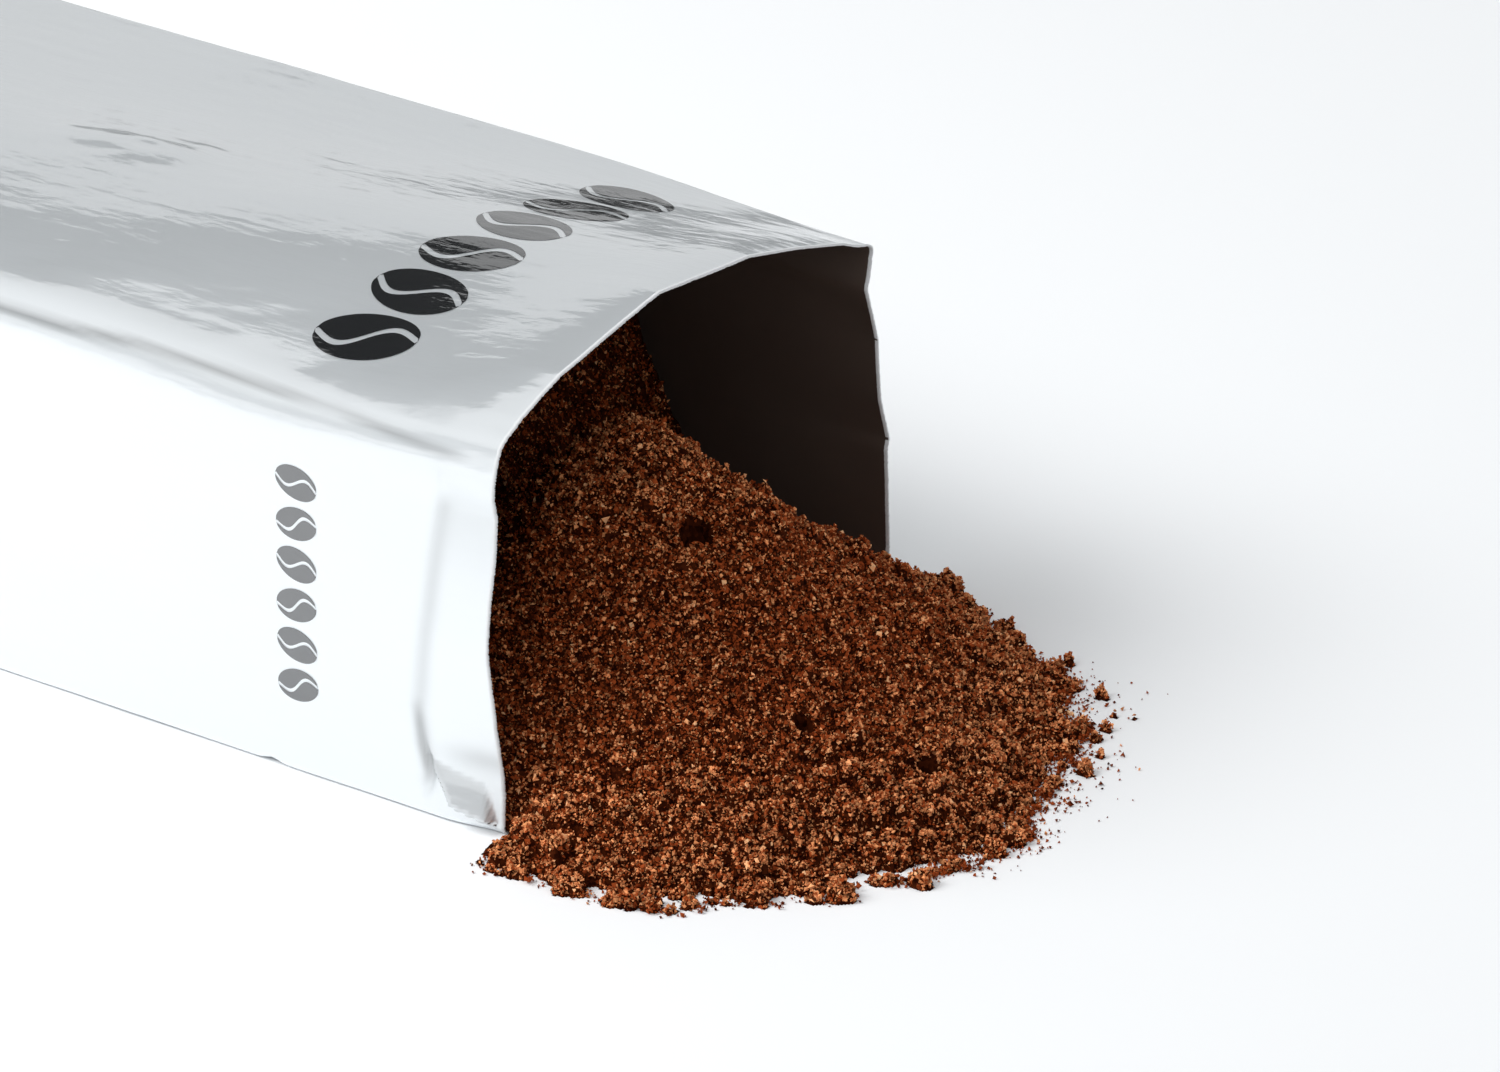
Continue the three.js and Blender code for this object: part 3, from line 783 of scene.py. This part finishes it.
class Heap:
    """The coffee's surface, as heights over a fine grid."""

    STEP = 0.25

    def __init__(self, s, film):
        self.film = film
        self.apex = (-6.0, 40.0, mm(s.heap_height))
        self.reach = mm(s.foot_reach) - 1.0
        self.x0, self.y0 = -50.0, -15.0
        xs = np.arange(self.x0, 58, self.STEP)
        ys = np.arange(self.y0, 99, self.STEP)
        x, y = np.meshgrid(xs, ys, indexing="ij")
        self.heights = self.plain(x, y)
        self.add_clumps(x, y)
        for px, py, width, depth in PITS:
            self.heights -= depth * hill(np.hypot(x - px, y - py), 0, width)

    def slope(self, x, y):
        ahead, aside = x - self.apex[0], y - self.apex[1]
        distance = np.hypot(ahead, aside)
        reach = self.reach * np.interp(np.degrees(np.arctan2(aside, ahead)), FOOT_TURN, FOOT_SHARE)
        fall = (np.hypot(distance, 5) - 5) / (np.hypot(reach, 5) - 5)
        extra = sum(height * hill(np.hypot(x - px, y - py), 0, width) for px, py, width, height in SWELLS)
        return self.apex[2] * np.sign(1 - fall) * np.abs(1 - fall) ** 1.2 + extra

    def bank(self, x, y):
        """The coffee that still stands inside the pack."""
        floor, run = 17, 15
        rise = (-27 + 0.12 * (self.film.width / 2 - y) - x) / run
        return floor + (self.film.height - floor) * np.minimum(rise, 2)

    def plain(self, x, y):
        return np.maximum(self.slope(x, y), self.bank(x, y)) + unevenness(HEAP_LUMPS, x, y)

    def window(self, px, py, r):
        """The part of the grid round a place."""
        i0, i1 = int((px - r - self.x0) / self.STEP), int((px + r - self.x0) / self.STEP) + 2
        j0, j1 = int((py - r - self.y0) / self.STEP), int((py + r - self.y0) / self.STEP) + 2
        return slice(max(i0, 0), i1), slice(max(j0, 0), j1)

    def add_clumps(self, x, y):
        """Round lumps of grains that stick together, large ones low on the spill, then single grains."""
        rng = np.random.default_rng(3)
        low = np.clip(1 - self.heights / 15, 0, 1) * smoothstep(x, -2, 4)
        self.heights -= 1.3 * low * (self.heights > 0)
        for count, small, large, everywhere in CLUMPS:
            cx, cy = rng.uniform(-46, 56, count), rng.uniform(-13, 97, count)
            size = small + (large - small) * rng.random(count) ** 1.8
            size *= 0.6 + 0.4 * smoothstep(np.hypot(cx, cy), 2, 6)
            base = self.at(cx, cy)
            rough = np.clip(1 - base / 15, 0, 1) * (cx > -1)
            lift = rng.uniform(-0.55, 0.4, count)
            kept = (rng.random(count) < everywhere + (1 - everywhere) * rough) & (base > -0.35 * size)
            for px, py, r, z, up in zip(cx[kept], cy[kept], size[kept], base[kept], lift[kept]):
                window = self.window(px, py, r)
                d2 = (x[window] - px) ** 2 + (y[window] - py) ** 2
                ball = np.where(d2 < r * r, z + up * r + np.sqrt(np.maximum(r * r - d2, 0)), DEEP)
                self.heights[window] = np.maximum(self.heights[window], ball)
        for px, py, r in CLODS:
            d2 = (x - px) ** 2 + (y - py) ** 2 + 0.8 * r * r * bumps(x, y, 0.7 * r, 17)
            clod = np.where(d2 < r * r, 1.5 * np.sqrt(np.maximum(r * r - d2, 0)), DEEP)
            self.heights = np.maximum(self.heights, clod)
        self.heights += rng.uniform(-0.1, 0.1, self.heights.shape) * (self.heights > 0)

    def blurred(self, cells):
        """The heights smoothed over a square of cells."""
        kernel = np.ones(cells) / cells
        rows = np.apply_along_axis(lambda line: np.convolve(line, kernel, "same"), 0, self.heights)
        return np.apply_along_axis(lambda line: np.convolve(line, kernel, "same"), 1, rows)

    def at(self, x, y):
        u = np.clip((x - self.x0) / self.STEP, 0, self.heights.shape[0] - 1.001)
        v = np.clip((y - self.y0) / self.STEP, 0, self.heights.shape[1] - 1.001)
        i, j = np.floor(u).astype(int), np.floor(v).astype(int)
        fu, fv = u - i, v - j
        h = self.heights
        low = h[i, j] * (1 - fu) + h[i + 1, j] * fu
        high = h[i, j + 1] * (1 - fu) + h[i + 1, j + 1] * fu
        return low * (1 - fv) + high * fv

    def ceiling(self, x, y):
        """The film's inner face over a place, with the rounding of its upper folds."""
        z = self.film.roof(x, y) - self.film.film - 0.1
        near = (self.film.radius(NEAR, x) + 0.9, y - self.film.near_wall(x, z))
        far = (2.4, self.film.far_wall(x, z) - y)
        for r, edge in (near, far):
            z = z - (r - np.sqrt(np.maximum(r * r - np.clip(r - edge, 0, r) ** 2, 0)))
        return z

    def inside_span(self, x):
        """Where the coffee's surface meets the near and the far wall, at stations inside the film."""
        gap = self.film.film + 0.12 + 0.7 * (1 - smoothstep(x, -9, -5))
        low = np.zeros_like(x)
        high = np.full_like(x, self.film.width)
        for _ in range(3):
            low = self.film.near_wall(x, np.clip(self.at(x, low), 0, 50)) + gap
            high = self.film.far_wall(x, np.clip(self.at(x, high), 0, 50)) - gap
        return low, high


# Where the coffee in the bag meets the coffee in front of it
FRONT = 0.55


def keep_used(points, quads):
    """The points that the quads use, and the quads renumbered to them."""
    used = np.unique(quads)
    lookup = np.zeros(len(points), int)
    lookup[used] = np.arange(len(used))
    return points[used], lookup[quads]


class COFFEE_OT_coffee_core(CoffeeOperator, bpy.types.Operator):
    """Builds the ground coffee as one lumpy mass under its loose grains, far darker than the grains as
    painted shade in the gaps between them
    """

    bl_idname = "coffee.coffee_core"
    bl_label = "Coffee core"

    def build(self, sizes, colours):
        film = Film(sizes)
        heap = Heap(sizes, film)
        # The mass shows only between the grains and in the pits, so its colours are darkened far below any
        # grain's: painted shade.
        dark = [0.35 * value for value in colours.coffee_dark]
        light = [0.2 * value for value in colours.coffee_mid]
        material = coffee_material("Coffee mass in painted shade", dark, light, 0.85)
        inside, sides, underside = self.mass_in_bag(heap)
        parts, faces, start = [inside], list(sides), len(inside)
        for points, quads in (self.surface(heap), self.underside(heap), self.back_face(heap)):
            parts.append(points)
            faces.append(quads + start)
            start += len(points)
        points = np.concatenate(parts)
        add_piece("coffee_core", points, faces, material, "ground_coffee", extra=[underside])

    def mass_in_bag(self, heap):
        """The coffee inside the film: points, upper and side faces, and the outline of its underside."""
        film = heap.film
        shown = np.append(np.arange(-48, FRONT - 0.1, 0.32), FRONT)
        xs = np.concatenate([np.linspace(film.end + film.end_rounding + 0.5, -49, 26), shown])
        share = np.linspace(0, 1, 256)
        low, high = heap.inside_span(np.maximum(xs, -48.5))
        low, high = low + 0.5 * (xs < -46), high - 0.5 * (xs < -46)
        x = np.repeat(xs[:, None], len(share), 1)
        y = low[:, None] + (high - low)[:, None] * share
        z = np.where(x < -47, -DEEP, heap.at(x, y))
        z = np.clip(np.minimum(z, heap.ceiling(x, y) - 0.6 * (x < -20)), 0.6, None)
        points = np.stack([x, y, z], -1).reshape(-1, 3)
        ids = np.arange(x.size).reshape(x.shape)
        loop = np.concatenate([ids[0, :-1], ids[:-1, -1], ids[-1, :0:-1], ids[:0:-1, 0]])
        foot = points[loop]
        foot[:, 2] = 0.5
        foot[:, 1] = np.clip(foot[:, 1], 1.2, film.width - 1.2)
        underside = x.size + np.arange(len(loop))
        skirt = np.stack([loop, np.roll(loop, -1), np.roll(underside, -1), underside], -1)
        return np.concatenate([points, foot]), (grid_faces(*x.shape)[:, ::-1], skirt), underside

    def spread(self, step):
        """A grid over all the ground in front of the bag."""
        return np.meshgrid(np.arange(FRONT, 56, step), np.arange(-14.5, 97.5, step), indexing="ij")

    def surface(self, heap):
        x, y = self.spread(0.31)
        z = heap.at(x, y)
        quads = grid_faces(*x.shape)
        quads = quads[(z.ravel()[quads] > 0).any(1)]
        return keep_used(np.stack([x, y, np.maximum(z, 0)], -1).reshape(-1, 3), quads[:, ::-1])

    def underside(self, heap):
        """The flat face that the front mass stands on, in larger cells."""
        x, y = self.spread(0.95)
        quads = grid_faces(*x.shape)
        quads = quads[(heap.at(x, y).ravel()[quads] > -0.3).all(1)]
        return keep_used(np.stack([x, y, 0 * x], -1).reshape(-1, 3), quads)

    def back_face(self, heap):
        """The flat face in which the front mass ends against the cut edge."""
        x, y = (values[0] for values in self.spread(0.31))
        row = np.stack([x, y, np.maximum(heap.at(x, y), 0)], -1)
        row = row[row[:, 2] > 0]
        points = np.stack([row, row * np.array([1, 1, 0])], 1).reshape(-1, 3)
        return points, grid_faces(len(row), 2)


def turned(rng, count):
    """Random rotations."""
    q = rng.normal(size=(count, 4))
    q /= np.linalg.norm(q, axis=1, keepdims=True)
    w, x, y, z = q.T
    first = [1 - 2 * (y * y + z * z), 2 * (x * y - w * z), 2 * (x * z + w * y)]
    second = [2 * (x * y + w * z), 1 - 2 * (x * x + z * z), 2 * (y * z - w * x)]
    third = [2 * (x * z - w * y), 2 * (y * z + w * x), 1 - 2 * (x * x + y * y)]
    return np.stack([np.stack(row, -1) for row in (first, second, third)], 1)


# A grain before it takes its own shape: corners and faces
CHIP = np.array([[1, 0, 0], [-0.5, 0.87, 0], [-0.5, -0.87, 0], [0, 0, 1], [0, 0, -1]])
CHIP_FACES = np.array([[0, 1, 3], [1, 2, 3], [2, 0, 3], [1, 0, 4], [2, 1, 4], [0, 2, 4]])


def chips(rng, places, sizes, stretch):
    """Angular chips at places, each with its own shape and turn: points and triangles."""
    count = len(places)
    shape = CHIP[None] * rng.uniform(0.8, 1.25, (count, 5, 1)) + rng.normal(0, 0.14, (count, 5, 3))
    shape = shape * rng.uniform(*stretch, (count, 1, 3)) * (sizes / 2)[:, None, None]
    shape = np.einsum("nij,nkj->nki", turned(rng, count), shape)
    points = shape + places[:, None, :]
    faces = CHIP_FACES[None] + 5 * np.arange(count)[:, None, None]
    return points.reshape(-1, 3), faces.reshape(-1, 3)


class COFFEE_OT_grains(CoffeeOperator, bpy.types.Operator):
    """Builds the loose grains over the coffee and the crumbs on the table, one piece for each kind"""

    bl_idname = "coffee.grains"
    bl_label = "Loose grains"

    def on_surface(self, heap, rng, count, sizes, proud):
        """Places spread evenly over the coffee that shows.

        proud draws them to what stands out, or with a minus to the gaps: light grains gather on the bumps and
        dark ones in the gaps, as painted light and shade."""
        found = []
        smooth = copy.copy(heap)
        smooth.heights = heap.blurred(9)
        stations = np.linspace(-48, FRONT, 60)
        low, high = heap.inside_span(stations)
        while sum(map(len, found)) < count:
            x = rng.uniform(-45, 55, count)
            y = rng.uniform(-13, 96, count)
            h = heap.at(x, y)
            sx = (heap.at(x + 0.8, y) - heap.at(x - 0.8, y)) / 1.6
            sy = (heap.at(x, y + 0.8) - heap.at(x, y - 0.8)) / 1.6
            area = np.sqrt(1 + sx**2 + sy**2)
            inside = x < FRONT
            clear = (y > np.interp(x, stations, low) + 0.25) & (y < np.interp(x, stations, high) - 0.25)
            good = (h > 0.05) & (rng.random(count) < area / 3.2)
            good &= ~inside | (clear & (h < heap.ceiling(x, y) - 1.0))
            good &= (x < -0.8) | (x > 0.75) | ((y > 1.2) & (y < 84))
            for px, py, width, _ in PITS:
                good &= np.hypot(x - px, y - py) > 1.05 * width
            good &= rng.random(count) < np.where(x < -14, 0.45, 1.0)
            # Light grains are kept more often low on the spill and high on the heap, dark ones in between:
            # painted light and shade by height.
            painted_light_share = np.interp(h, [6, 13, 28, 36], [1.0, 0.6, 0.55, 0.85])
            good &= rng.random(count) < (painted_light_share if proud > 0.3 else 1.5 - painted_light_share)
            good &= rng.random(count) < 1 / (1 + np.exp(-5 * proud * (h - smooth.at(x, y))))
            found.append(np.stack([x, y, h], -1)[good])
        places = np.concatenate(found)[:count]
        places[:, 2] += rng.uniform(-0.45, 0.85, count) * sizes
        places[:, 2] = np.maximum(places[:, 2], 0.33 * sizes)
        return places

    def on_table(self, heap, rng, count, sizes):
        """Crumbs that lie on the table round the foot, more of them to the right."""
        found = []
        while sum(map(len, found)) < count:
            x = rng.uniform(1, 59.5, count * 6)
            y = rng.uniform(-10.0, 91.5, count * 6)
            h = heap.at(x, y)
            right = smoothstep(x, 20, 45) * smoothstep(y, 15, 45)
            chance = np.exp(h / (0.3 + 0.9 * right))
            good = (h < 0) & (rng.random(len(x)) < chance)
            found.append(np.stack([x, y, 0 * x], -1)[good])
        places = np.concatenate(found)[:count]
        # Half of them lie in little heaps close to the foot.
        close = places[heap.at(places[:, 0], places[:, 1]) > -1.0][: max(count // 12, 1)]
        near = rng.integers(0, len(close), count // 2)
        places[: count // 2] = close[near] + rng.normal(0, 0.32, (count // 2, 3))
        places[:, 2] = np.abs(places[:, 2]) + 0.36 * sizes
        return places

    def build(self, sizes, colours):
        film = Film(sizes)
        heap = Heap(sizes, film)
        usual = mm(sizes.grain_size)
        c = colours
        grain, flake = (0.5, 1.35), (0.25, 1.5)
        # name, number on the coffee and on the table, size, how proud they lie (light grains on bumps and
        # dark ones in gaps, as painted light and shade), stretch, two tones, roughness
        kinds = [
            ("grains_dark", 32000, 850, 1.0, -1.6, grain, c.coffee_dark, c.coffee_mid, 0.6),
            ("grains_mid", 32000, 680, 1.0, 0.3, grain, c.coffee_mid, c.coffee_mid, 0.7),
            ("grains_warm", 30000, 150, 0.9, 0.4, grain, c.coffee_dark, c.coffee_light, 0.7),
            ("grains_light", 27000, 60, 0.9, 0.7, grain, c.coffee_mid, c.coffee_light, 0.75),
            ("grains_fine", 32000, 900, 0.68, 0.0, grain, c.coffee_dark, c.coffee_mid, 0.75),
            ("chaff_flakes", 2400, 12, 1.1, 0.5, flake, c.coffee_light, c.chaff, 0.6),
        ]
        for number, (name, count, loose, size, proud, stretch, dark, light, rough) in enumerate(kinds):
            rng = np.random.default_rng(20 + number)
            widths = usual * size * np.clip(rng.lognormal(0, 0.28, count + loose), 0.45, 1.9)
            top = self.on_surface(heap, rng, count, widths[:count], proud)
            table = self.on_table(heap, rng, loose, widths[count:])
            places = np.concatenate([top, table])
            points, faces = chips(rng, places, widths, stretch)
            points[:, 2] = np.maximum(points[:, 2], 0)
            material = coffee_material(name.replace("_", " "), dark, light, rough)
            add_piece(name, points, [faces], material, "ground_coffee", smooth=False)


class COFFEE_OT_stage(CoffeeOperator, bpy.types.Operator):
    """Sets up the pale floor, the soft light and the camera"""

    bl_idname = "coffee.stage"
    bl_label = "Stage"

    def build(self, sizes, colours):
        scene = bpy.context.scene
        self.floor(scene)
        self.world(scene)
        self.key_light(scene)
        self.camera(scene)
        scene.view_settings.view_transform = "Standard"
        scene.view_settings.look = "None"
        scene.view_settings.exposure = 0.0
        scene.view_settings.gamma = 1.0

    def floor(self, scene):
        side, behind = 4.0, 0.5
        corners = [(-side, -side, 0), (side, -side, 0), (side, behind, 0), (-side, behind, 0)]
        mesh = bpy.data.meshes.new("floor")
        mesh.from_pydata(corners, [], [(0, 1, 2, 3)])
        material, _ = new_material("Pale floor", (0.865, 0.876, 0.886), 0.6)
        mesh.materials.append(material)
        floor = bpy.data.objects.new("floor", mesh)
        scene.collection.objects.link(floor)
        floor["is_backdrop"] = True

    def world(self, scene):
        """A studio in bands of brightness, unlike behind the object, in front of it and to its right."""
        world = bpy.data.worlds.new("Studio")
        world.use_nodes = True
        scene.world = world
        nodes, links = world.node_tree.nodes, world.node_tree.links
        background = nodes["Background"]
        background.inputs["Strength"].default_value = 1.0
        place = new_node(nodes, "ShaderNodeTexCoord")
        split = new_node(nodes, "ShaderNodeSeparateXYZ")
        behind = new_node(nodes, "ShaderNodeMapRange", From_Min=-0.2, From_Max=0.2)
        beside = new_node(nodes, "ShaderNodeMapRange", From_Min=0.35, From_Max=0.75)
        mix = new_node(nodes, "ShaderNodeMix", data_type="RGBA")
        add = new_node(nodes, "ShaderNodeMix", data_type="RGBA")
        top = [(0.88, 1.2), (0.95, 0.5), (1.0, 0.5)]
        sky = [(0.72, 0.04), (0.76, 1.1), *top]
        back = self.bands(nodes, [(0.0, 0.03), (0.03, 0.80), (0.454, 0.80), (0.462, 0.03), *sky])
        front = self.bands(nodes, [(0.0, 1.05), (0.14, 1.05), (0.20, 0.42), (0.38, 0.42), (0.5, 1.0), *top])
        right = self.bands(nodes, [(0.0, 0.3), (0.4, 0.6), (0.6, 0.6), *sky])
        links.new(place.outputs["Generated"], split.inputs[0])
        links.new(split.outputs["Z"], back.inputs["Fac"])
        links.new(split.outputs["Z"], front.inputs["Fac"])
        links.new(split.outputs["Y"], behind.inputs["Value"])
        links.new(behind.outputs["Result"], mix.inputs["Factor"])
        links.new(front.outputs["Color"], mix.inputs[MIX_FIRST])
        links.new(back.outputs["Color"], mix.inputs[MIX_SECOND])
        links.new(split.outputs["X"], beside.inputs["Value"])
        links.new(split.outputs["Z"], right.inputs["Fac"])
        links.new(beside.outputs["Result"], add.inputs["Factor"])
        links.new(mix.outputs[MIX_RESULT], add.inputs[MIX_FIRST])
        links.new(right.outputs["Color"], add.inputs[MIX_SECOND])
        links.new(add.outputs[MIX_RESULT], background.inputs["Color"])

    def bands(self, nodes, stops):
        """The studio's brightness by height, from straight down at 0 to straight up at 1."""
        ramp = nodes.new("ShaderNodeValToRGB")
        elements = ramp.color_ramp.elements
        for position, _ in stops[1:-1]:
            elements.new(position)
        elements[0].position, elements[-1].position = stops[0][0], stops[-1][0]
        for element, (position, value) in zip(elements, stops):
            element.position = position
            element.color = (value * 0.985, value, value * 1.012, 1)
        return ramp

    def place_facing(self, scene, item, place, right, up, back):
        """Puts a lamp or camera in the scene, with its own sides along the directions given."""
        turn = Matrix([[*row] for row in np.stack([right, up, back], 1)]).to_4x4()
        item.matrix_world = Matrix.Translation(place) @ turn
        scene.collection.objects.link(item)

    def key_light(self, scene):
        """The soft lamp at the upper left, turned to the middle of the table. The film doesn't mirror it."""
        place = (-0.403, -0.377, 0.624)
        light = bpy.data.lights.new("Key light", "AREA")
        light.size = 0.47
        light.energy = 5.5
        lamp = bpy.data.objects.new("Key light", light)
        lamp.visible_glossy = False
        back = np.array(place) / np.linalg.norm(place)
        right = np.cross([0, 0, 1], back)
        right /= np.linalg.norm(right)
        self.place_facing(scene, lamp, place, right, np.cross(back, right), back)

    def camera(self, scene):
        """The camera at the photograph's viewing angle."""
        azimuth, elevation, distance = math.radians(35.13), math.radians(26.18), 1.2
        aside, above = 0.0313, 0.0379
        focal_pixels, frame_pixels, sensor = 9557, 1500, 36.0
        level = math.cos(elevation)
        back = np.array([math.sin(azimuth) * level, -math.cos(azimuth) * level, math.sin(elevation)])
        right = np.array([math.cos(azimuth), math.sin(azimuth), 0.0])
        up = np.cross(back, right)
        place = mouth_corner() + back * distance + right * aside + up * above
        data = bpy.data.cameras.new("Camera")
        data.sensor_width = sensor
        data.lens = focal_pixels / frame_pixels * sensor
        data.clip_start, data.clip_end = 0.05, 20
        camera = bpy.data.objects.new("Camera", data)
        self.place_facing(scene, camera, place, right, up, back)
        scene.camera = camera


class COFFEE_PT_panel(bpy.types.Panel):
    """Sizes, colours and the operators, in the sidebar"""

    bl_label = "Coffee bag"
    bl_idname = "COFFEE_PT_panel"
    bl_space_type = "VIEW_3D"
    bl_region_type = "UI"
    bl_category = "Coffee Bag"

    def draw(self, context):
        for group in (context.scene.coffee_bag_sizes, context.scene.coffee_bag_colours):
            for name in group.__annotations__:
                self.layout.prop(group, name)
        for operator in OPERATORS:
            self.layout.operator(operator.bl_idname)


OPERATORS = (
    COFFEE_OT_foil_film,
    COFFEE_OT_end_folds,
    COFFEE_OT_bean_print,
    COFFEE_OT_coffee_core,
    COFFEE_OT_grains,
    COFFEE_OT_stage,
)
CLASSES = (CoffeeBagSizes, CoffeeBagColours, *OPERATORS, COFFEE_PT_panel)


def register():
    for item in CLASSES:
        bpy.utils.register_class(item)
    bpy.types.Scene.coffee_bag_sizes = bpy.props.PointerProperty(type=CoffeeBagSizes)
    bpy.types.Scene.coffee_bag_colours = bpy.props.PointerProperty(type=CoffeeBagColours)


def unregister():
    del bpy.types.Scene.coffee_bag_colours
    del bpy.types.Scene.coffee_bag_sizes
    for item in reversed(CLASSES):
        bpy.utils.unregister_class(item)


def main():
    register()
    bpy.ops.coffee.foil_film()
    bpy.ops.coffee.end_folds()
    bpy.ops.coffee.bean_print()
    bpy.ops.coffee.coffee_core()
    bpy.ops.coffee.grains()
    bpy.ops.coffee.stage()
    bounds = {"packed": PACKED_BOUNDS, "shown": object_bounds()}
    bounds = {label: [list(corner) for corner in corners] for label, corners in bounds.items()}


if __name__ == "__main__":
    main()
